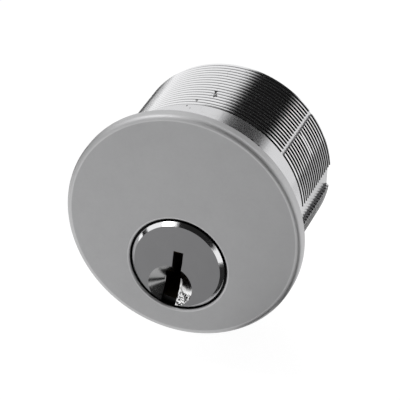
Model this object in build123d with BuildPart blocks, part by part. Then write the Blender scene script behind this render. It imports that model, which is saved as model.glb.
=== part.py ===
from build123d import *
from math import asin, degrees
import os

os.makedirs("parts", exist_ok=True)

# All sizes are in millimetres. The origin is the centre of the head's seating face, on the
# barrel's axis. +Y runs to the rear, the face looks along -Y and +Z is up.

# Body: head and barrel, with a ring cut between the plain shoulder and the threaded length
barrel_radius = 14.68
shoulder_length = 7.05
rear_wall = 3.2
rear_chamfer = 0.5
head_radius = 17.3
head_thickness = 1.9
head_front_round = 0.85
head_back_chamfer = 0.15
relief_width = 0.5
relief_depth = 0.35

# Set-screw grooves and a narrow slot along the thread
groove_angle = 3.5
groove_width = 3.4
groove_depth = 0.6
groove_start = 5.0
slit_angle = 44.0
slit_width = 0.62
slit_depth = 0.42

# Plug, which turns in a bore below the barrel's axis
plug_drop = 6.2
plug_radius = 6.35
plug_proud = 0.35
plug_overhang = 0.15
flange_radius = 6.85
flange_bevel = 0.5
flange_clearance = 0.35
flange_seat_depth = 1.25
bore_mouth_round = 0.35
plug_clearance = 0.05

# Keyway: an upper slot for the blade's back and a wider lower slot beside it
slot_width = 1.36
slot_top = 2.3
lower_slot_left = 1.85
lower_slot_right = 0.35
lower_slot_top = 1.8

# Countersink over the keyway, where the key's shoulder goes in
sink_left = 0.66
sink_drop = 3.53
sink_rim_radius = 3.25
sink_floor_radius = 1.3
sink_depth = 1.5

# Pin stacks, one above the other in five chambers
first_pin_depth = 4.6
pin_pitch = 3.81
pin_radius = 1.46
pin_clearance = 0.04
tip_radius = 0.4
tip_rest_drop = 1.0
ledge_clearance = 0.05
dome_radius = 6.2
top_clearance = 0.02
key_pin_lifts = (0.95, 2.05, 0.4, 1.5, 2.6)
driver_length = 4.57
driver_chamfer = 0.15
driver_clearance = 0.07
wire_radius = 0.15
wire_flats = 8
coil_clearance = 0.1
coil_turns = 7
cap_radius = 1.65
cap_fit = 0.01
cap_depth = 3.2

# Cam and its two screws
cam_disc_radius = 8.3
cam_nose_radius = 3.2
cam_reach = 17.0
cam_thickness = 2.5
cam_edge = 0.2
screw_spread = 4.1
screw_radius = 1.42
screw_fit = 0.01
screw_hole_clearance = 0.15
screw_depth = 5.5
screw_hole_spare = 0.8
screw_head_radius = 2.6
screw_head_height = 1.5
screw_head_round = 0.5
screw_slot_width = 0.7
screw_slot_depth = 0.7

# Places worked out from the sizes above
face_y = -head_thickness
plug_z = -plug_drop
plug_front_y = face_y - plug_proud
pin_ys = [face_y + first_pin_depth + pin_pitch * i for i in range(len(key_pin_lifts))]
barrel_length = pin_ys[-1] + rear_wall
plug_rear_y = barrel_length + plug_overhang
cam_rear_y = plug_rear_y + cam_thickness
bore_radius = plug_radius + plug_clearance
flange_bore_radius = flange_radius + flange_clearance
flange_seat_y = face_y + flange_seat_depth
chamber_radius = pin_radius + pin_clearance
cap_bottom_z = barrel_radius - cap_depth
tip_rest_z = plug_z - tip_rest_drop
driver_bottom_z = plug_z + plug_radius + driver_clearance
driver_top_z = driver_bottom_z + driver_length
plug_axis = Axis((0, 0, plug_z), (0, 1, 0))


def facing(y, x=0.0, z=0.0):
    """A plane across the axis at depth y: local x is +X, local y is +Z, and it faces forward."""
    return Plane(origin=(x, y, z), x_dir=(1, 0, 0), z_dir=(0, -1, 0))


# Cylinder body: a turned piece, drilled for the plug and the pin stacks
with BuildPart() as body:
    with BuildSketch(Plane.XY):
        with BuildLine():
            Polyline(
                (0, face_y),
                (head_radius, face_y),
                (head_radius, -head_back_chamfer),
                (head_radius - head_back_chamfer, 0),
                (barrel_radius, 0),
                (barrel_radius, shoulder_length),
                (barrel_radius - relief_depth, shoulder_length + relief_width / 2),
                (barrel_radius, shoulder_length + relief_width),
                (barrel_radius, barrel_length - rear_chamfer),
                (barrel_radius - rear_chamfer, barrel_length),
                (0, barrel_length),
                close=True,
            )
        make_face()
    revolve(axis=Axis.Y)
    fillet(body.edges().group_by(Axis.Y)[0], head_front_round)
    with BuildSketch(facing(face_y, z=plug_z)):
        Circle(bore_radius)
    extrude(amount=-(head_thickness + barrel_length), mode=Mode.SUBTRACT)
    with BuildSketch(facing(face_y, z=plug_z)):
        Circle(flange_bore_radius)
    extrude(amount=-flange_seat_depth, mode=Mode.SUBTRACT)
    mouth = body.faces().sort_by(Axis.Y)[0].inner_wires()[0]
    fillet(mouth.edges(), bore_mouth_round)
    with BuildSketch(Plane.XY.offset(plug_z)):
        with Locations([(0, y) for y in pin_ys]):
            Circle(chamber_radius)
    extrude(amount=plug_drop + cap_bottom_z, mode=Mode.SUBTRACT)
    with BuildSketch(Plane.XY.offset(cap_bottom_z)):
        with Locations([(0, y) for y in pin_ys]):
            Circle(cap_radius + cap_fit)
    extrude(amount=cap_depth, mode=Mode.SUBTRACT)
    with BuildSketch(facing(groove_start)):
        with PolarLocations(barrel_radius, 2, start_angle=groove_angle):
            Rectangle(2 * groove_depth, groove_width)
    extrude(amount=groove_start - barrel_length, mode=Mode.SUBTRACT)
    with BuildSketch(facing(shoulder_length)):
        with PolarLocations(barrel_radius, 1, start_angle=slit_angle):
            Rectangle(2 * slit_depth, slit_width)
    extrude(amount=shoulder_length - barrel_length, mode=Mode.SUBTRACT)
body.part.label = "cylinder_body"
export_step(body.part, "parts/cylinder_body.step")

# Plug: flange and bevel in front, keyway right through, a chamber for each key pin
with BuildPart() as plug:
    with BuildSketch(Plane.XY.offset(plug_z)):
        with BuildLine():
            Polyline(
                (0, plug_front_y),
                (flange_radius - flange_bevel, plug_front_y),
                (flange_radius, plug_front_y + flange_bevel),
                (flange_radius, flange_seat_y - plug_clearance),
                (plug_radius, flange_seat_y - plug_clearance),
                (plug_radius, plug_rear_y),
                (0, plug_rear_y),
                close=True,
            )
        make_face()
    revolve(axis=plug_axis)
    with BuildSketch(Plane.XY.offset(plug_z - sink_drop)):
        with BuildLine():
            Polyline(
                (-sink_left, plug_front_y),
                (-sink_left + sink_rim_radius, plug_front_y),
                (-sink_left + sink_floor_radius, plug_front_y + sink_depth),
                (-sink_left, plug_front_y + sink_depth),
                close=True,
            )
        make_face()
    revolve(axis=Axis((-sink_left, 0, plug_z - sink_drop), (0, 1, 0)), mode=Mode.SUBTRACT)
    with BuildSketch(facing(plug_front_y, z=plug_z)):
        with BuildLine():
            Polyline(
                (-slot_width / 2, slot_top),
                (slot_width / 2, slot_top),
                (slot_width / 2, -lower_slot_top),
                (lower_slot_right, -lower_slot_top),
                (lower_slot_right, -flange_radius),
                (-lower_slot_left, -flange_radius),
                (-lower_slot_left, -lower_slot_top),
                (-slot_width / 2, -lower_slot_top),
                close=True,
            )
        make_face()
    extrude(amount=plug_front_y - plug_rear_y, mode=Mode.SUBTRACT)
    for y in pin_ys:
        with BuildSketch(facing(y)):
            with BuildLine():
                Polyline(
                    (0, tip_rest_z - ledge_clearance),
                    (tip_radius, tip_rest_z - ledge_clearance),
                    (chamber_radius, tip_rest_z - ledge_clearance + chamber_radius - tip_radius),
                    (chamber_radius, plug_z + plug_radius),
                    (0, plug_z + plug_radius),
                    close=True,
                )
            make_face()
        revolve(axis=Axis((0, y, 0), (0, 0, 1)), mode=Mode.SUBTRACT)
    with BuildSketch(facing(plug_rear_y, z=plug_z)):
        with Locations((-screw_spread, 0), (screw_spread, 0)):
            Circle(screw_radius + screw_fit)
    extrude(amount=screw_depth + screw_hole_spare, mode=Mode.SUBTRACT)
plug.part.label = "plug"
export_step(plug.part, "parts/plug.step")


def make_key_pin(y, lift):
    """A lower pin at depth y, resting on its ledge, lift short of the plug's surface."""
    top_z = plug_z + plug_radius - top_clearance - lift
    half_angle = degrees(asin(pin_radius / dome_radius))
    with BuildPart() as pin:
        with BuildSketch(facing(y)):
            with BuildLine():
                dome = CenterArc((0, top_z - dome_radius), dome_radius, 90 - half_angle, half_angle)
                Polyline(
                    dome @ 1,
                    (0, tip_rest_z),
                    (tip_radius, tip_rest_z),
                    (pin_radius, tip_rest_z + pin_radius - tip_radius),
                    dome @ 0,
                )
            make_face()
        revolve(axis=Axis((0, y, 0), (0, 0, 1)))
    return pin.part


def make_driver_pin(y):
    """An upper pin at depth y, just clear of the plug."""
    with BuildPart() as pin:
        with BuildSketch(Plane.XY.offset(driver_bottom_z)):
            with Locations((0, y)):
                Circle(pin_radius)
        extrude(amount=driver_length)
        chamfer(pin.edges().filter_by(GeomType.CIRCLE), driver_chamfer)
    return pin.part


def make_spring(y):
    """A coil spring at depth y, from the driver's top to the cap. Its fine wire has flats."""
    coil_height = cap_bottom_z - driver_top_z - 2 * wire_radius
    with BuildPart() as spring:
        with BuildLine():
            coil = Helix(
                pitch=coil_height / coil_turns,
                height=coil_height,
                radius=pin_radius - coil_clearance - wire_radius,
                center=(0, y, driver_top_z + wire_radius),
            )
        with BuildSketch(Plane(origin=coil @ 0, z_dir=coil % 0)):
            RegularPolygon(wire_radius, wire_flats)
        sweep(path=coil, is_frenet=True)
    return spring.part


def make_chamber_cap(y):
    """A cap at depth y whose top follows the barrel's outside."""
    with BuildPart() as cap:
        with BuildSketch(Plane.XY.offset(cap_bottom_z)):
            with Locations((0, y)):
                Circle(cap_radius)
        extrude(amount=cap_depth)
        with BuildSketch(facing(barrel_length)):
            Circle(barrel_radius)
        extrude(amount=barrel_length, mode=Mode.INTERSECT)
    return cap.part


# Pin stacks: key pin, driver pin, spring and cap in each chamber, from front to rear
for number, (y, lift) in enumerate(zip(pin_ys, key_pin_lifts), start=1):
    stack = {
        "key_pin": make_key_pin(y, lift),
        "driver_pin": make_driver_pin(y),
        "spring": make_spring(y),
        "chamber_cap": make_chamber_cap(y),
    }
    for name, piece in stack.items():
        piece.label = f"{name}_{number}"
        export_step(piece, f"parts/{name}_{number}.step")

# Cam: a disc wider than the bore, which holds the plug in, with a nose that points up
with BuildPart() as cam:
    with BuildSketch(facing(cam_rear_y, z=plug_z)):
        Circle(cam_disc_radius)
        with Locations((0, cam_reach - cam_nose_radius)):
            Circle(cam_nose_radius)
        make_hull()
        with Locations((-screw_spread, 0), (screw_spread, 0)):
            Circle(screw_radius + screw_hole_clearance, mode=Mode.SUBTRACT)
    extrude(amount=cam_thickness)
    chamfer(cam.faces().sort_by(Axis.Y)[-1].outer_wire().edges(), cam_edge)
cam.part.label = "cam"
export_step(cam.part, "parts/cam.step")


def make_cam_screw(x):
    """A slotted screw at x, through the cam into the plug's rear."""
    head_top_y = cam_rear_y + screw_head_height
    with BuildPart() as screw:
        with BuildSketch(facing(head_top_y, x, plug_z)):
            Circle(screw_head_radius)
        extrude(amount=screw_head_height)
        fillet(screw.edges().group_by(Axis.Y)[-1], screw_head_round)
        with BuildSketch(facing(cam_rear_y, x, plug_z)):
            Circle(screw_radius)
        extrude(amount=cam_thickness + screw_depth)
        with BuildSketch(facing(head_top_y, x, plug_z)):
            Rectangle(2 * screw_head_radius, screw_slot_width)
        extrude(amount=screw_slot_depth, mode=Mode.SUBTRACT)
    return screw.part


# Cam screws, left and right of the plug's axis
for number, x in enumerate((-screw_spread, screw_spread), start=1):
    cam_screw = make_cam_screw(x)
    cam_screw.label = f"cam_screw_{number}"
    export_step(cam_screw, f"parts/cam_screw_{number}.step")
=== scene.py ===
from math import acos, cos, degrees, pi, radians, sin, tan

import bmesh
import bpy
from mathutils import Matrix, Vector


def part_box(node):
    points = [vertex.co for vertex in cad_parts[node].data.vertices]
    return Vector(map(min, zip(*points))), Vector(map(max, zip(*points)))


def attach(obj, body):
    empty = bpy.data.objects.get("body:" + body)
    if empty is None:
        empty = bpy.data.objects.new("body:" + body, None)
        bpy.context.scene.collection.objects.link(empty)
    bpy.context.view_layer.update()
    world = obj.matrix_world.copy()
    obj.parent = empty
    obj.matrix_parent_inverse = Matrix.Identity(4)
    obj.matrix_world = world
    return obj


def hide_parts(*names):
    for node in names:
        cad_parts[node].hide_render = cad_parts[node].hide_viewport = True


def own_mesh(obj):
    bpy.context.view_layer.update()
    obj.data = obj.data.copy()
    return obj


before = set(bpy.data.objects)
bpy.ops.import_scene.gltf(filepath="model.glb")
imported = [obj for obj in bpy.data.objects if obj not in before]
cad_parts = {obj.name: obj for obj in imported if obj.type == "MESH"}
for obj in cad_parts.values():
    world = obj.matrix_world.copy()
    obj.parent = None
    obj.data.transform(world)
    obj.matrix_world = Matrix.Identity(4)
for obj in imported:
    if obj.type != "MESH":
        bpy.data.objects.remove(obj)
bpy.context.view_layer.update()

# Sizes are in metres, in the frame of the CAD part: +Y runs to the rear, +Z is up.
MM = 0.001

# Body: head and barrel
body_low, body_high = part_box("cylinder_body")
head_radius = body_high.x
face_y = body_low.y
barrel_length = body_high.y
barrel_radius = 14.68 * MM
head_front_round = 0.85 * MM
head_back_chamfer = 0.15 * MM
rear_chamfer = 0.5 * MM
shoulder_length = 7.05 * MM
relief_width = 0.5 * MM
relief_depth = 0.35 * MM

# Thread: 32 turns to the inch, right hand, with 60 degree flanks and flat crests
thread_pitch = 25.4 / 32 * MM
thread_half_angle = 30
thread_depth = 0.45 * MM
root_half_width = 0.015 * MM
thread_over = 0.055 * MM
steps_per_turn = 180
run_in_turns = 0.4

# Painted shade darkens the thread's valleys below the first depth and fades out up to the second
valley_shade_depth = 0.21 * MM
unshaded_depth = 0.08 * MM
valley_shade_level = 0.015

# A scuff across one turn of the thread, which is shallower there
scuff_y = 14.2 * MM
scuff_angles = (30, 42)
scuff_share = 0.5

# Nicks in the thread and shoulder, as (angle, place along the barrel, length), with their radius
# as a share of the length
nicks = (
    (95.0, 11.8 * MM, 1.3 * MM),
    (94.1, 10.6 * MM, 1.5 * MM),
    (101.8, 8.5 * MM, 1.0 * MM),
    (104.9, 6.6 * MM, 0.5 * MM),
    (102.2, 5.9 * MM, 0.35 * MM),
    (62.4, 4.0 * MM, 0.7 * MM),
    (57.9, 3.9 * MM, 0.8 * MM),
    (60.8, 3.4 * MM, 0.6 * MM),
)
nick_share = 0.23
nick_steps = 12

# Grooves and slit along the thread
groove_angle = 3.5
groove_width = 3.4 * MM
groove_depth = 0.6 * MM
groove_start = 5.0 * MM
slit_angle = 44.0
slit_width = 0.62 * MM
slit_depth = 0.42 * MM

# Plug, its bore and its flange. The cam's disc is on the plug's axis.
plug_low, plug_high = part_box("plug")
cam_low, cam_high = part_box("cam")
plug_z = cam_low.z + cam_high.x
plug_radius = 6.35 * MM
plug_clearance = 0.05 * MM
flange_radius = 6.85 * MM
flange_bevel = 0.5 * MM
flange_clearance = 0.35 * MM
flange_seat_depth = 1.25 * MM
bore_mouth_round = 0.35 * MM

# Keyway and countersink
slot_width = 1.36 * MM
slot_top = 2.3 * MM
lower_slot_left = 1.85 * MM
lower_slot_right = 0.35 * MM
lower_slot_top = 1.8 * MM
slot_edge = 0.05 * MM
sink_left = 0.66 * MM
sink_drop = 3.53 * MM
sink_rim_radius = 3.25 * MM
sink_floor_radius = 1.3 * MM
sink_depth = 1.5 * MM

# Wear and a painted reflection in the countersink: pits, the way along which both grow, where the
# pits set in and where the painted reflection turns the plate bright
pit_size = 0.26 * MM
pit_share = (0.5, 0.55)
wear_and_sheen_way = (0.3, 0, -0.95)
worn_from = (1.35 * MM, 1.75 * MM)
bright_from = (0.0 * MM, 1.0 * MM)
pit_level = 0.012
bright_level = 0.85

# Pin chambers and their caps
pin_numbers = (1, 2, 3, 4, 5)
pin_ys = [sum(c.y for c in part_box(f"driver_pin_{n}")) / 2 for n in pin_numbers]
chamber_radius = 1.5 * MM
tip_radius = 0.4 * MM
ledge_clearance = 0.05 * MM
tip_floor_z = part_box("key_pin_1")[0].z - ledge_clearance
cap_radius = 1.65 * MM
cap_fit = 0.01 * MM
cap_bottom_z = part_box("chamber_cap_1")[0].z

# Springs: a round wire, coiled from the driver pin's top to the cap
wire_radius = 0.15 * MM
wire_steps = 10
coil_turns = 7
coil_steps = 24

# Cam and its screws
screw_numbers = (1, 2)
cam_disc_radius = cam_high.x
cam_nose_radius = 3.2 * MM
cam_edge = 0.2 * MM
screw_spread = 4.1 * MM
screw_radius = 1.42 * MM
screw_fit = 0.01 * MM
screw_hole_clearance = 0.15 * MM
screw_hole_depth = 6.3 * MM
screw_head_radius = 2.6 * MM
screw_head_height = 1.5 * MM
screw_head_round = 0.5 * MM
screw_slot_width = 0.7 * MM
screw_slot_depth = 0.7 * MM

# How finely the meshes are cut, and how far the cutting tools pass the surface
ring_steps = 240
small_ring_steps = 96
round_steps = 10
passing = 1.0 * MM

# What tells one kind of face from another: a hair's breadth, how squarely an end looks along the
# barrel and how much a slope does. Edges sharper than crease stay sharp.
hair = 0.01 * MM
end_on = 0.999
sloping = 0.2
crease = radians(24)

# How coarse the noise in the metals is: clouds are as many times wider than the fine grain
cloud_grains = 8
cloud_detail = 4
fine_detail = 3
pit_detail = 2
least_roughness = 0.02


def along_y(u, v, w):
    """Places a profile across the barrel: u is +X, v is +Z, w runs along +Y."""
    return Vector((u, w, v))


def along_z(u, v, w):
    """Places an upright profile: u is +X, v is +Y, w runs along +Z."""
    return Vector((u, v, w))


def new_object(name, points, faces):
    """A mesh object with its normals turned outwards."""
    mesh = bpy.data.meshes.new(name)
    mesh.from_pydata([tuple(p) for p in points], [], faces)
    work = bmesh.new()
    work.from_mesh(mesh)
    bmesh.ops.recalc_face_normals(work, faces=work.faces)
    work.to_mesh(mesh)
    work.free()
    piece = bpy.data.objects.new(name, mesh)
    bpy.context.scene.collection.objects.link(piece)
    return piece


def rounded(centre_radius, centre_along, radius, start, end):
    """The points of a round on a profile, from start to end in degrees."""
    turns = [radians(start + (end - start) * i / round_steps) for i in range(round_steps + 1)]
    return [(centre_radius + radius * cos(t), centre_along + radius * sin(t)) for t in turns]


def turned(name, profile, place, centre=(0, 0), steps=ring_steps):
    """A turned piece: profile holds (radius, along) points and starts and ends on the axis."""
    points = []
    rings = []
    for radius, along in profile:
        first = len(points)
        count = 1 if radius == 0 else steps
        for i in range(count):
            turn = 2 * pi * i / steps
            u = centre[0] + radius * sin(turn)
            v = centre[1] + radius * cos(turn)
            points.append(place(u, v, along))
        rings.append([first + i % count for i in range(steps)])
    faces = []
    for low, high in zip(rings, rings[1:]):
        for i in range(steps):
            j = (i + 1) % steps
            corners = [low[i], low[j], high[j], high[i]]
            faces.append(list(dict.fromkeys(corners)))
    return new_object(name, points, [f for f in faces if len(f) > 2])


def cylinder(name, radius, low, high, place, centre):
    """A plain cylinder from low to high."""
    profile = [(0, low), (radius, low), (radius, high), (0, high)]
    return turned(name, profile, place, centre, small_ring_steps)


def lofted(name, layers, place):
    """A closed piece through layers of (outline, along), whose outlines have as many points."""
    points = []
    for outline, along in layers:
        points += [place(u, v, along) for u, v in outline]
    count = len(layers[0][0])
    faces = [list(range(count)), list(range(len(points) - count, len(points)))]
    for layer in range(len(layers) - 1):
        first = layer * count
        for i in range(count):
            j = (i + 1) % count
            faces.append([first + i, first + j, first + count + j, first + count + i])
    return new_object(name, points, faces)


def widened(outline, distance):
    """A counter-clockwise outline whose sides have moved outwards."""
    moved = []
    for i, corner in enumerate(outline):
        before = Vector(outline[i - 1])
        here = Vector(corner)
        after = Vector(outline[(i + 1) % len(outline)])
        a = (here - before).normalized()
        b = (after - here).normalized()
        normals = Vector((a.y, -a.x)) + Vector((b.y, -b.x))
        shift = normals * (2 * distance / normals.length_squared)
        moved.append((here.x + shift.x, here.y + shift.y))
    return moved


def combine(piece, tool, operation, keep_tool=False):
    """Cuts tool from piece, or keeps what they share."""
    modifier = piece.modifiers.new("combine", "BOOLEAN")
    modifier.operation = operation
    modifier.solver = "MANIFOLD"
    modifier.object = tool
    graph = bpy.context.evaluated_depsgraph_get()
    mesh = bpy.data.meshes.new_from_object(piece.evaluated_get(graph))
    piece.modifiers.clear()
    piece.data = mesh
    if not keep_tool:
        bpy.data.objects.remove(tool)


def smooth(piece):
    """Smooth shading with a crease wherever two faces meet at a real edge."""
    piece.data.shade_smooth()
    piece.data.set_sharp_from_angle(angle=crease)


def thread_cutter():
    """The V that the thread is cut with, on a helix from the shoulder out past the rear."""
    flank = tan(radians(thread_half_angle))
    turns = (barrel_length - shoulder_length) / thread_pitch + 1
    steps = round(turns * steps_per_turn)
    start_y = shoulder_length + relief_width / 2
    points = []
    for step in range(steps + 1):
        turn = step / steps_per_turn
        angle = 90 - 360 * (turn % 1)
        y = start_y + thread_pitch * turn
        share = min(1, turn / run_in_turns)
        on_scuff = scuff_angles[0] < angle % 360 < scuff_angles[1]
        if on_scuff and abs(y - scuff_y) < thread_pitch / 2:
            share = scuff_share
        depth = thread_depth * share
        low_radius = barrel_radius + thread_over / 2 * (1 - share) - depth
        high_radius = barrel_radius + thread_over
        high_half_width = root_half_width + (high_radius - low_radius) * flank
        side = cos(radians(angle))
        up = sin(radians(angle))
        root = (low_radius, root_half_width)
        mouth = (high_radius, high_half_width)
        for radius, half_width in (root, mouth):
            points.append((radius * side, y - half_width, radius * up))
            points.append((radius * side, y + half_width, radius * up))
    around = (0, 1, 3, 2)
    count = len(around)
    faces = [list(around), [count * steps + i for i in around]]
    for step in range(steps):
        first = count * step
        after = first + count
        for a, b in zip(around, around[1:] + around[:1]):
            faces.append([first + a, first + b, after + b, after + a])
    return new_object("thread_cutter", points, faces)


def rotated(outline, angle):
    """An outline turned about the barrel's axis, in degrees from +X towards +Z."""
    c = cos(radians(angle))
    s = sin(radians(angle))
    return [(u * c - v * s, u * s + v * c) for u, v in outline]


def body_blank():
    """Head, shoulder and threaded barrel, before any hole."""
    profile = [(0, face_y)]
    profile += rounded(
        head_radius - head_front_round, face_y + head_front_round, head_front_round, -90, 0
    )
    profile += [
        (head_radius, -head_back_chamfer),
        (head_radius - head_back_chamfer, 0),
        (barrel_radius, 0),
        (barrel_radius, shoulder_length),
        (barrel_radius - relief_depth, shoulder_length + relief_width / 2),
        (barrel_radius, shoulder_length + relief_width),
        (barrel_radius, barrel_length - rear_chamfer),
        (barrel_radius - rear_chamfer, barrel_length),
        (0, barrel_length),
    ]
    blank = turned("cylinder_body_threaded", profile, along_y)
    combine(blank, thread_cutter(), "DIFFERENCE")
    for angle, y, length in nicks:
        combine(blank, nick_cutter(angle, y, length), "DIFFERENCE")
    return blank


def bore_cutter():
    """The plug's bore, the flange's recess and the recess's rounded mouth."""
    recess = flange_radius + flange_clearance
    profile = [(0, face_y - passing), (recess + bore_mouth_round, face_y - passing)]
    profile += rounded(
        recess + bore_mouth_round, face_y + bore_mouth_round, bore_mouth_round, 270, 180
    )
    profile += [
        (recess, face_y + flange_seat_depth),
        (plug_radius + plug_clearance, face_y + flange_seat_depth),
        (plug_radius + plug_clearance, barrel_length + passing),
        (0, barrel_length + passing),
    ]
    return turned("bore", profile, along_y, (0, plug_z))


def groove_cutter(angle, width, depth, front_y):
    """A flat-bottomed groove along the barrel, from front_y right out at the rear."""
    low = barrel_radius - depth
    high = barrel_radius + passing
    outline = [(low, -width / 2), (high, -width / 2), (high, width / 2), (low, width / 2)]
    outline = rotated(outline, angle)
    return lofted("groove", [(outline, front_y), (outline, barrel_length + passing)], along_y)


def nick_cutter(angle, y, length):
    """A small spindle, half sunk in the barrel's surface along its length."""
    side = barrel_radius * cos(radians(angle))
    up = barrel_radius * sin(radians(angle))
    profile = [(0, y - length / 2), (nick_share * length, y), (0, y + length / 2)]
    return turned("nick", profile, along_y, (side, up), nick_steps)


def make_caps(blank):
    """The chamber caps, threaded over with the barrel."""
    caps = {}
    for number, y in zip(pin_numbers, pin_ys):
        name = f"chamber_cap_{number}_threaded"
        cap = cylinder(name, cap_radius, cap_bottom_z, barrel_radius + passing, along_z, (0, y))
        combine(cap, blank, "INTERSECT", keep_tool=True)
        smooth(cap)
        caps[number] = cap
    return caps


def make_body(blank):
    """The blank with its bore, chambers, grooves and slit."""
    combine(blank, bore_cutter(), "DIFFERENCE")
    for y in pin_ys:
        top_z = cap_bottom_z + passing / 2
        chamber = cylinder("chamber", chamber_radius, plug_z, top_z, along_z, (0, y))
        combine(blank, chamber, "DIFFERENCE")
        outside_z = barrel_radius + passing
        seat = cylinder("seat", cap_radius + cap_fit, cap_bottom_z, outside_z, along_z, (0, y))
        combine(blank, seat, "DIFFERENCE")
    for angle in (groove_angle, groove_angle + 180):
        groove = groove_cutter(angle, groove_width, groove_depth, groove_start)
        combine(blank, groove, "DIFFERENCE")
    slit = groove_cutter(slit_angle, slit_width, slit_depth, shoulder_length)
    combine(blank, slit, "DIFFERENCE")
    smooth(blank)
    return blank


def keyway_cutter():
    """The stepped keyway, right through the plug, with a fine edge break in front."""
    half = slot_width / 2
    low = -flange_radius - passing
    outline = [
        (-lower_slot_left, low),
        (lower_slot_right, low),
        (lower_slot_right, -lower_slot_top),
        (half, -lower_slot_top),
        (half, slot_top),
        (-half, slot_top),
        (-half, -lower_slot_top),
        (-lower_slot_left, -lower_slot_top),
    ]
    outline = [(u, v + plug_z) for u, v in outline]
    layers = [
        (widened(outline, 2 * slot_edge), plug_low.y - slot_edge),
        (outline, plug_low.y + slot_edge),
        (outline, plug_high.y + passing),
    ]
    return lofted("keyway", layers, along_y)


def make_plug():
    """The plug, with flange, keyway, countersink, pin chambers and screw holes."""
    flange_back_y = face_y + flange_seat_depth - plug_clearance
    profile = [
        (0, plug_low.y),
        (flange_radius - flange_bevel, plug_low.y),
        (flange_radius, plug_low.y + flange_bevel),
        (flange_radius, flange_back_y),
        (plug_radius, flange_back_y),
        (plug_radius, plug_high.y),
        (0, plug_high.y),
    ]
    piece = turned("plug_detailed", profile, along_y, (0, plug_z))
    sink_slope = (sink_rim_radius - sink_floor_radius) / sink_depth
    sink_profile = [
        (0, plug_low.y - passing),
        (sink_rim_radius + sink_slope * passing, plug_low.y - passing),
        (sink_floor_radius, plug_low.y + sink_depth),
        (0, plug_low.y + sink_depth),
    ]
    sink = turned("sink", sink_profile, along_y, (-sink_left, plug_z - sink_drop))
    combine(piece, sink, "DIFFERENCE")
    combine(piece, keyway_cutter(), "DIFFERENCE")
    ledge_z = tip_floor_z + chamber_radius - tip_radius
    for y in pin_ys:
        chamber_profile = [
            (0, tip_floor_z),
            (tip_radius, tip_floor_z),
            (chamber_radius, ledge_z),
            (chamber_radius, plug_z + plug_radius + passing),
            (0, plug_z + plug_radius + passing),
        ]
        chamber = turned("chamber", chamber_profile, along_z, (0, y), small_ring_steps)
        combine(piece, chamber, "DIFFERENCE")
    radius = screw_radius + screw_fit
    low_y = plug_high.y - screw_hole_depth
    for x in (-screw_spread, screw_spread):
        hole = cylinder("hole", radius, low_y, plug_high.y + passing, along_y, (x, plug_z))
        combine(piece, hole, "DIFFERENCE")
    smooth(piece)
    return piece


def cam_outline(inset=0.0):
    """The cam's outline: a disc on the plug's axis drawn out to a nose above it."""
    disc = cam_disc_radius - inset
    nose = cam_nose_radius - inset
    spread = cam_high.z - cam_nose_radius - plug_z
    tangent = degrees(acos((disc - nose) / spread))
    outline = []
    for i in range(ring_steps + 1):
        turn = radians(90 + tangent + (360 - 2 * tangent) * i / ring_steps)
        outline.append((disc * cos(turn), plug_z + disc * sin(turn)))
    for i in range(small_ring_steps + 1):
        turn = radians(90 - tangent + 2 * tangent * i / small_ring_steps)
        outline.append((nose * cos(turn), plug_z + spread + nose * sin(turn)))
    return outline


def make_cam():
    """The cam plate, with its rear edge broken and two screw holes."""
    layers = [
        (cam_outline(), cam_low.y),
        (cam_outline(), cam_high.y - cam_edge),
        (cam_outline(cam_edge), cam_high.y),
    ]
    piece = lofted("cam_plate", layers, along_y)
    radius = screw_radius + screw_hole_clearance
    low_y = cam_low.y - passing
    for x in (-screw_spread, screw_spread):
        hole = cylinder("hole", radius, low_y, cam_high.y + passing, along_y, (x, plug_z))
        combine(piece, hole, "DIFFERENCE")
    smooth(piece)
    return piece


def make_screw(number):
    """A slotted cam screw with a rounded head."""
    low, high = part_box(f"cam_screw_{number}")
    x = (low.x + high.x) / 2
    profile = [
        (0, low.y),
        (screw_radius, low.y),
        (screw_radius, high.y - screw_head_height),
        (screw_head_radius, high.y - screw_head_height),
    ]
    profile += rounded(
        screw_head_radius - screw_head_round, high.y - screw_head_round, screw_head_round, 0, 90
    )
    profile += [(0, high.y)]
    piece = turned(f"cam_screw_{number}_slotted", profile, along_y, (x, plug_z), small_ring_steps)
    half = screw_slot_width / 2
    reach = screw_head_radius + passing
    outline = [
        (x - reach, plug_z - half),
        (x + reach, plug_z - half),
        (x + reach, plug_z + half),
        (x - reach, plug_z + half),
    ]
    layers = [(outline, high.y - screw_slot_depth), (outline, high.y + passing)]
    slot = lofted("slot", layers, along_y)
    combine(piece, slot, "DIFFERENCE")
    smooth(piece)
    return piece


def make_spring(number):
    """A coil spring of round wire, where the CAD spring is."""
    low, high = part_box(f"spring_{number}")
    middle = (low + high) / 2
    radius = high.x - wire_radius
    coil_low = low.z + wire_radius
    rise = high.z - low.z - 2 * wire_radius
    points = []
    count = coil_turns * coil_steps
    for i in range(count + 1):
        turn = 2 * pi * coil_turns * i / count
        out = Vector((cos(turn), sin(turn), 0))
        centre = Vector((0, middle.y, coil_low + rise * i / count)) + out * radius
        for j in range(wire_steps):
            around = 2 * pi * j / wire_steps
            way = out * cos(around) + Vector((0, 0, 1)) * sin(around)
            points.append(centre + way * wire_radius)
    faces = [list(range(wire_steps)), list(range(count * wire_steps, (count + 1) * wire_steps))]
    for i in range(count):
        low_ring = i * wire_steps
        high_ring = low_ring + wire_steps
        for j in range(wire_steps):
            k = (j + 1) % wire_steps
            faces.append([low_ring + j, low_ring + k, high_ring + k, high_ring + j])
    piece = new_object(f"spring_{number}_coil", points, faces)
    smooth(piece)
    return piece


def ramp(nodes, links, value, low, high):
    """A smooth step from 0 at low to 1 at high."""
    step = nodes.new("ShaderNodeMapRange")
    step.interpolation_type = "SMOOTHSTEP"
    step.inputs["From Min"].default_value = low
    step.inputs["From Max"].default_value = high
    links.new(value, step.inputs["Value"])
    return step.outputs["Result"]


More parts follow.
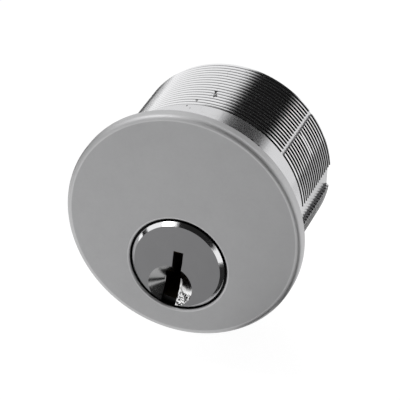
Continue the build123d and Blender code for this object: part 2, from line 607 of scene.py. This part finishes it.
def reach_along(nodes, links, vector, way):
    """How far vector reaches along way."""
    reach = nodes.new("ShaderNodeVectorMath")
    reach.operation = "DOT_PRODUCT"
    reach.inputs[1].default_value = way
    links.new(vector, reach.inputs[0])
    return reach.outputs["Value"]


def outside(nodes, links, vector, zones):
    """1 outside the zones and 0 inside them: a zone is the overlap of its ramps along its ways."""
    lit = []
    for zone in zones:
        inside = product(nodes, links, [
            ramp(nodes, links, reach_along(nodes, links, vector, way), *limits)
            for way, limits in zone
        ])
        rest = nodes.new("ShaderNodeMath")
        rest.operation = "SUBTRACT"
        rest.inputs[0].default_value = 1
        links.new(inside, rest.inputs[1])
        lit.append(rest.outputs["Value"])
    return product(nodes, links, lit)


def product(nodes, links, values):
    """All values multiplied together."""
    total = values[0]
    for value in values[1:]:
        times = nodes.new("ShaderNodeMath")
        times.operation = "MULTIPLY"
        links.new(total, times.inputs[0])
        links.new(value, times.inputs[1])
        total = times.outputs["Value"]
    return total


def grey(level):
    """A colour without hue."""
    return (level, level, level, 1)


def blend(nodes, links, share, first, second):
    """A colour that goes from first to second with share. Either is a colour or a socket."""
    mix = nodes.new("ShaderNodeMix")
    mix.data_type = "RGBA"
    links.new(share, mix.inputs["Factor"])
    for name, colour in (("A", first), ("B", second)):
        if isinstance(colour, tuple):
            mix.inputs[name].default_value = colour
        else:
            links.new(colour, mix.inputs[name])
    return mix.outputs["Result"]


def metal(name, colour, roughness, spread=0.05, grain=0.35 * MM, bump=0.02, uneven=0.04):
    """A plated or bare metal: fine grain in its colour, roughness and surface."""
    material = bpy.data.materials.new(name)
    material.use_nodes = True
    nodes = material.node_tree.nodes
    links = material.node_tree.links
    shader = nodes["Principled BSDF"]
    shader.inputs["Metallic"].default_value = 1.0
    place = nodes.new("ShaderNodeTexCoord")

    cloud = nodes.new("ShaderNodeTexNoise")
    cloud.inputs["Scale"].default_value = 1 / (cloud_grains * grain)
    cloud.inputs["Detail"].default_value = cloud_detail
    links.new(place.outputs["Object"], cloud.inputs["Vector"])
    darker = (*[c * (1 - uneven) for c in colour], 1)
    lighter = (*[min(1, c * (1 + uneven)) for c in colour], 1)
    tint = blend(nodes, links, cloud.outputs["Fac"], darker, lighter)
    links.new(tint, shader.inputs["Base Color"])

    fine = nodes.new("ShaderNodeTexNoise")
    fine.inputs["Scale"].default_value = 1 / grain
    fine.inputs["Detail"].default_value = fine_detail
    links.new(place.outputs["Object"], fine.inputs["Vector"])
    rough = nodes.new("ShaderNodeMapRange")
    rough.inputs["To Min"].default_value = max(least_roughness, roughness - spread)
    rough.inputs["To Max"].default_value = roughness + spread
    links.new(fine.outputs["Fac"], rough.inputs["Value"])
    links.new(rough.outputs["Result"], shader.inputs["Roughness"])

    relief = nodes.new("ShaderNodeBump")
    relief.inputs["Strength"].default_value = bump
    relief.inputs["Distance"].default_value = grain
    links.new(fine.outputs["Fac"], relief.inputs["Height"])
    links.new(relief.outputs["Normal"], shader.inputs["Normal"])
    return material


def thread_metal():
    """Turned metal whose crests are bright and whose valleys are darkened with painted shade."""
    material = metal(
        "thread_metal", (0.8, 0.8, 0.81), 0.12, spread=0.04, grain=0.6 * MM, bump=0.006
    )
    nodes = material.node_tree.nodes
    links = material.node_tree.links
    shader = nodes["Principled BSDF"]
    undarkened = shader.inputs["Base Color"].links[0].from_socket
    place = nodes.new("ShaderNodeTexCoord")
    flat = nodes.new("ShaderNodeVectorMath")
    flat.operation = "MULTIPLY"
    flat.inputs[1].default_value = (1, 0, 1)
    links.new(place.outputs["Object"], flat.inputs[0])
    out = nodes.new("ShaderNodeVectorMath")
    out.operation = "LENGTH"
    links.new(flat.outputs["Vector"], out.inputs[0])
    # Painted shade: the deeper the surface lies in the thread's valleys, the darker it is painted
    height = nodes.new("ShaderNodeMapRange")
    height.inputs["From Min"].default_value = barrel_radius - valley_shade_depth
    height.inputs["From Max"].default_value = barrel_radius - unshaded_depth
    links.new(out.outputs["Value"], height.inputs["Value"])
    shade = blend(nodes, links, height.outputs["Result"], grey(valley_shade_level), undarkened)
    links.new(shade, shader.inputs["Base Color"])
    return material


def sink_metal():
    """The countersink's plate, with a painted reflection that turns it bright towards the lower
    right, and pitted with dark specks that way.
    """
    material = metal("sink_metal", (0.3, 0.3, 0.3), 0.16, grain=0.2 * MM)
    nodes = material.node_tree.nodes
    links = material.node_tree.links
    shader = nodes["Principled BSDF"]
    plated = shader.inputs["Base Color"].links[0].from_socket
    place = nodes.new("ShaderNodeTexCoord")
    from_centre = nodes.new("ShaderNodeVectorMath")
    from_centre.operation = "SUBTRACT"
    from_centre.inputs[1].default_value = (-sink_left, 0, plug_z - sink_drop)
    links.new(place.outputs["Object"], from_centre.inputs[0])
    wear_and_sheen = reach_along(nodes, links, from_centre.outputs["Vector"], wear_and_sheen_way)
    pits = nodes.new("ShaderNodeTexNoise")
    pits.inputs["Scale"].default_value = 1 / pit_size
    pits.inputs["Detail"].default_value = pit_detail
    links.new(place.outputs["Object"], pits.inputs["Vector"])
    dark = product(nodes, links, [
        ramp(nodes, links, wear_and_sheen, *worn_from),
        ramp(nodes, links, pits.outputs["Fac"], *pit_share),
    ])
    # Painted reflection: the plate's colour turns bright along the way
    bright = ramp(nodes, links, wear_and_sheen, *bright_from)
    undarkened = blend(nodes, links, bright, plated, grey(bright_level))
    shade = blend(nodes, links, dark, undarkened, grey(pit_level))
    links.new(shade, shader.inputs["Base Color"])
    return material


def paint(piece, materials, choose):
    """Gives each face of piece the material that choose names for its centre and normal."""
    names = list(materials)
    piece.data.materials.clear()
    for name in names:
        piece.data.materials.append(materials[name])
    for face in piece.data.polygons:
        face.material_index = names.index(choose(face.center, face.normal))


def from_axis(point, x=0, z=0):
    """A point's distance from a line along the barrel through x and z."""
    return ((point.x - x) ** 2 + (point.z - z) ** 2) ** 0.5


def on_radius(point, angle):
    """A point's places along and across the radius at angle, in degrees from +X towards +Z."""
    c = cos(radians(angle))
    s = sin(radians(angle))
    return point.x * c + point.z * s, point.z * c - point.x * s


def clad(piece, material):
    """Gives the whole piece one material."""
    piece.data.materials.clear()
    piece.data.materials.append(material)


def body_zone(centre, normal):
    """Satin face, the rim in a copy of it painted lighter, turned shoulder, thread, grooves,
    recess dark with painted shade and bare bores.
    """
    if normal.y < -end_on and centre.y < face_y + hair:
        return "face"
    if normal.y > end_on and centre.y > barrel_length - hair:
        return "shoulder"
    if from_axis(centre, z=plug_z) < flange_radius + flange_clearance + hair:
        return "recess" if centre.y < face_y + 2 * flange_seat_depth else "bare"
    if centre.y < 0:
        return "rim"
    out = from_axis(centre)
    if out < barrel_radius - groove_depth - hair:
        return "bare"
    if abs(on_radius(centre, groove_angle)[1]) < groove_width / 2 + hair:
        return "shoulder"
    if centre.y < shoulder_length:
        return "recess" if out < barrel_radius - hair else "shoulder"
    slit_out, slit_side = on_radius(centre, slit_angle)
    if slit_out > 0 and abs(slit_side) < slit_width / 2 + hair:
        return "shoulder"
    return "thread"


def cap_zone(centre, normal):
    """Threaded over on top, bare elsewhere."""
    if from_axis(centre) < barrel_radius - thread_depth - hair:
        return "bare"
    return "shoulder" if centre.y < shoulder_length else "thread"


def plug_zone(centre, normal):
    """Satin face, bright bevel, countersink with its painted reflection, and keyway and chambers
    dark with painted shade.
    """
    if centre.y < plug_low.y + slot_edge / 2 and normal.y < -end_on:
        return "face"
    in_flange = centre.y < face_y + flange_seat_depth
    if in_flange and from_axis(centre, z=plug_z) > flange_radius - flange_bevel - slot_edge:
        return "bright"
    in_sink = centre.y < plug_low.y + sink_depth + hair
    from_sink = from_axis(centre, -sink_left, plug_z - sink_drop)
    if in_sink and from_sink < sink_rim_radius and normal.y < -sloping:
        return "sink"
    if centre.y < plug_low.y + 2 * slot_edge and normal.y < -sloping:
        return "bright"
    return "keyway"


# Materials
satin_face = metal("satin_face", (0.42, 0.42, 0.425), 0.58)
# The rim: the face's satin plating, painted lighter for the light the rim catches
satin_rim_painted_lighter = metal("satin_rim_painted_lighter", (0.51, 0.51, 0.515), 0.5)
bright_turned = metal("bright_turned", (0.64, 0.64, 0.65), 0.22)
# Painted shade: near black for the recess around the plug and the hollows in the shoulder
recess_painted_shade = metal("recess_painted_shade", (0.02, 0.02, 0.02), 0.5)
bare_brass = metal("bare_brass", (0.42, 0.36, 0.24), 0.4)
# Painted shade: near black for the keyway, the chambers and the rest of the plug
keyway_painted_shade = metal("keyway_painted_shade", (0.07, 0.068, 0.064), 0.45)
satin_plug = metal("satin_plug", (0.2, 0.2, 0.204), 0.4)
bright_chrome = metal("bright_chrome", (0.82, 0.82, 0.83), 0.1)
pin_brass = metal("pin_brass", (0.80, 0.62, 0.30), 0.3)
spring_wire = metal("spring_wire", (0.6, 0.6, 0.6), 0.3, grain=0.1 * MM)
cam_plate_metal = metal("cam_plate_metal", (0.55, 0.55, 0.54), 0.38)
screw_metal = metal("screw_metal", (0.62, 0.62, 0.61), 0.3)

# Pieces
blank = body_blank()
caps = make_caps(blank)
body = make_body(blank)
threads = thread_metal()
paint(body, {
    "face": satin_face,
    "rim": satin_rim_painted_lighter,
    "shoulder": bright_turned,
    "thread": threads,
    "recess": recess_painted_shade,
    "bare": bare_brass,
}, body_zone)
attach(body, "cylinder")
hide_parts("cylinder_body")
for number, cap in caps.items():
    paint(cap, {"shoulder": bright_turned, "thread": threads, "bare": bare_brass}, cap_zone)
    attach(cap, "cylinder")
    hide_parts(f"chamber_cap_{number}")

plug = make_plug()
paint(plug, {
    "face": satin_plug,
    "bright": bright_chrome,
    "sink": sink_metal(),
    "keyway": keyway_painted_shade,
}, plug_zone)
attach(plug, "plug")
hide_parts("plug")

cam = make_cam()
clad(cam, cam_plate_metal)
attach(cam, "plug")
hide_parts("cam")
for number in screw_numbers:
    screw = make_screw(number)
    clad(screw, screw_metal)
    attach(screw, "plug")
    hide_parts(f"cam_screw_{number}")

for number in pin_numbers:
    for name in (f"key_pin_{number}", f"driver_pin_{number}"):
        clad(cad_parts[name], pin_brass)
    spring = make_spring(number)
    clad(spring, spring_wire)
    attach(spring, "cylinder")
    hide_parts(f"spring_{number}")
    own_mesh(spring)

# Camera, at the photograph's angle
view_azimuth = radians(15.84)
view_elevation = radians(31.21)
view_roll = radians(6.76)
view_distance = 0.3702
view_aside = 0.0025
view_up = 0.00384
view_lens = 240.3
nearest_seen = 0.01
forward = Vector((
    -sin(view_azimuth) * cos(view_elevation),
    cos(view_azimuth) * cos(view_elevation),
    -sin(view_elevation),
))
level_right = Vector((cos(view_azimuth), sin(view_azimuth), 0))
level_up = level_right.cross(forward)
right = level_right * cos(view_roll) + level_up * sin(view_roll)
up = level_up * cos(view_roll) - level_right * sin(view_roll)
aim = Vector((0, face_y, 0)) + right * view_aside + up * view_up
eye = aim - forward * view_distance
camera = bpy.data.objects.new("camera", bpy.data.cameras.new("camera"))
camera.data.lens = view_lens
camera.data.clip_start = nearest_seen
turn = Matrix((right, up, -forward)).transposed().to_4x4()
camera.matrix_world = Matrix.Translation(eye) @ turn
bpy.context.scene.collection.objects.link(camera)
bpy.context.scene.camera = camera


def in_metres(zones):
    """Zones whose steps are given in millimetres."""
    return [[(way, (low * MM, high * MM)) for way, (low, high) in zone] for zone in zones]


def floor_material():
    """A pale floor, white to the camera with the object's shadow on it. Reflections see painted
    shade on it: dimmer in its dim zones and black in its dark zones."""
    material = bpy.data.materials.new("pale_floor")
    material.use_nodes = True
    nodes = material.node_tree.nodes
    links = material.node_tree.links
    shader = nodes["Principled BSDF"]
    shader.inputs["Roughness"].default_value = floor_roughness
    shader.inputs["Specular IOR Level"].default_value = 0.0
    shader.inputs["Emission Color"].default_value = grey(1)
    place = nodes.new("ShaderNodeTexCoord")
    lit = outside(nodes, links, place.outputs["Object"], floor_dark_zones)
    undimmed = outside(nodes, links, place.outputs["Object"], floor_dim_zones)

    tint = blend(nodes, links, lit, grey(floor_black), grey(floor_pale))
    links.new(tint, shader.inputs["Base Color"])

    reflected = nodes.new("ShaderNodeMapRange")
    reflected.inputs["To Min"].default_value = floor_dim
    reflected.inputs["To Max"].default_value = floor_bright
    links.new(undimmed, reflected.inputs["Value"])
    path = nodes.new("ShaderNodeLightPath")
    either = nodes.new("ShaderNodeMath")
    either.operation = "MAXIMUM"
    links.new(path.outputs["Is Glossy Ray"], either.inputs[0])
    links.new(path.outputs["Is Transmission Ray"], either.inputs[1])
    glow = product(nodes, links, [reflected.outputs["Result"], lit, either.outputs["Value"]])

    seen = nodes.new("ShaderNodeMapRange")
    seen.inputs["To Min"].default_value = 1
    seen.inputs["To Max"].default_value = floor_seen
    links.new(lit, seen.inputs["Value"])
    shown = nodes.new("ShaderNodeMix")
    links.new(path.outputs["Is Camera Ray"], shown.inputs["Factor"])
    links.new(glow, shown.inputs["A"])
    links.new(seen.outputs["Result"], shown.inputs["B"])
    links.new(shown.outputs["Result"], shader.inputs["Emission Strength"])
    return material


# Floor just under the cam's nose at its lowest, when the plug is turned half round
floor_half = 0.35
floor_gap = 0.3 * MM
floor_z = plug_z - (cam_high.z - plug_z) - floor_gap
floor_roughness = 0.9
# Painted shade: the floor's colour is black in its dark zones, which only reflections see, and
# pale elsewhere
floor_black = 0.03
floor_pale = 0.3

# How much the floor glows: to the camera where it is pale, and to reflections where it is bright
# and where it is dim. To the camera it is white where it is black to reflections.
floor_seen = 0.85
floor_bright = 0.9
floor_dim = 0.35

# The zones are painted shade that only reflections see; those under the barrel stand in for the
# object's shadow
# Each zone is the overlap of soft steps, as (way, (where it is 0, where it is 1)), in millimetres
floor_dim_zones = in_metres((
    # Behind to the left
    (((1, 0, 0), (25, -25)), ((0, 1, 0), (25, 45)), ((0, 1, 0), (165, 110))),
    # In front, towards the right
    (((1, 0, 0), (-33, 57)), ((1, 0, 0), (26, 16)), ((0, 1, 0), (0, -12))),
    # Under the barrel
    (((1, 0, 0), (24, 18)), ((0, 1, 0), (20, 28)), ((0.5, 1, 0), (115, 80))),
    # Behind to the right
    (((-1.28, 1, 0), (6, 20)), ((1, 0, 0), (20, 32)), ((1, 0, 0), (150, 110))),
))
floor_dark_zones = in_metres((
    # To the right
    (((1, 0.55, 0), (20, 25)), ((0.6, 1, 0), (38, 18))),
    # A patch in front
    (((0.34, 1, 0), (5.2, 3.8)), ((1, 0, 0), (9, 13)), ((0, 1, 0), (-20, -14))),
    # Far to the left
    (((1, 0, 0), (-60, -100)), ((0, 1, 0), (-140, -90)), ((0, 1, 0), (-15, -35))),
    # The ground behind, under the barrel and to its left
    (((1, 0, 0), (8, -4)), ((0, 1, 0), (20, 28)), ((0.5, 1, 0), (115, 80))),
))
floor = new_object(
    "floor",
    [(-floor_half, -floor_half, floor_z), (floor_half, -floor_half, floor_z),
     (floor_half, floor_half, floor_z), (-floor_half, floor_half, floor_z)],
    [[0, 1, 2, 3]],
)
floor.data.materials.append(floor_material())

# World: a white room that is dark in front at the right and overhead, low at the left and on a
# strip behind. The zones' steps are in shares of a unit direction.
room_dark_zones = (
    # In front, to the right
    (((1, 0, 0), (-0.22, -0.06)), ((0.7, 1, 0), (0.08, -0.02))),
    # In front, overhead
    (((1, 0, 0), (-0.45, -0.3)), ((0, 0, 1), (0.55, 0.7)), ((0, 1, 0), (0.0, -0.2))),
    # At the left, low down
    (((1, 0, 0), (-0.5, -0.7)), ((0, 1, 0), (-0.33, -0.43)), ((0, 0, 1), (0.08, -0.05))),
    (((1, 0, 0), (-0.85, -0.95)), ((0, 1, 0), (-0.24, -0.16)), ((0, 0, 1), (0.16, 0.08))),
    # A strip behind
    (((0.178, 0.823, 0.54), (0.945, 0.981)),),
)
# The light that is left in the dark zones
room_dark = 0.015

world = bpy.data.worlds.new("room")
bpy.context.scene.world = world
world.use_nodes = True
nodes = world.node_tree.nodes
links = world.node_tree.links
background = nodes["Background"]
background.inputs["Color"].default_value = grey(1)
place = nodes.new("ShaderNodeTexCoord")
lit = nodes.new("ShaderNodeMapRange")
lit.inputs["To Min"].default_value = room_dark
open_room = outside(nodes, links, place.outputs["Generated"], room_dark_zones)
links.new(open_room, lit.inputs["Value"])
path = nodes.new("ShaderNodeLightPath")
shown = nodes.new("ShaderNodeMix")
shown.inputs["B"].default_value = 1.0
links.new(path.outputs["Is Camera Ray"], shown.inputs["Factor"])
links.new(lit.outputs["Result"], shown.inputs["A"])
links.new(shown.outputs["Result"], background.inputs["Strength"])

# One soft lamp from the upper left
lamp_from = Vector((-0.5, -0.22, 0.6))
lamp_size = 0.4
lamp_energy = 1.2
lamp = bpy.data.objects.new("lamp", bpy.data.lights.new("lamp", "AREA"))
lamp.data.shape = "DISK"
lamp.data.size = lamp_size
lamp.data.energy = lamp_energy
lamp.location = lamp_from
lamp.rotation_euler = (-lamp_from).to_track_quat("-Z", "Y").to_euler()
bpy.context.scene.collection.objects.link(lamp)

bpy.context.scene.view_settings.view_transform = "Standard"
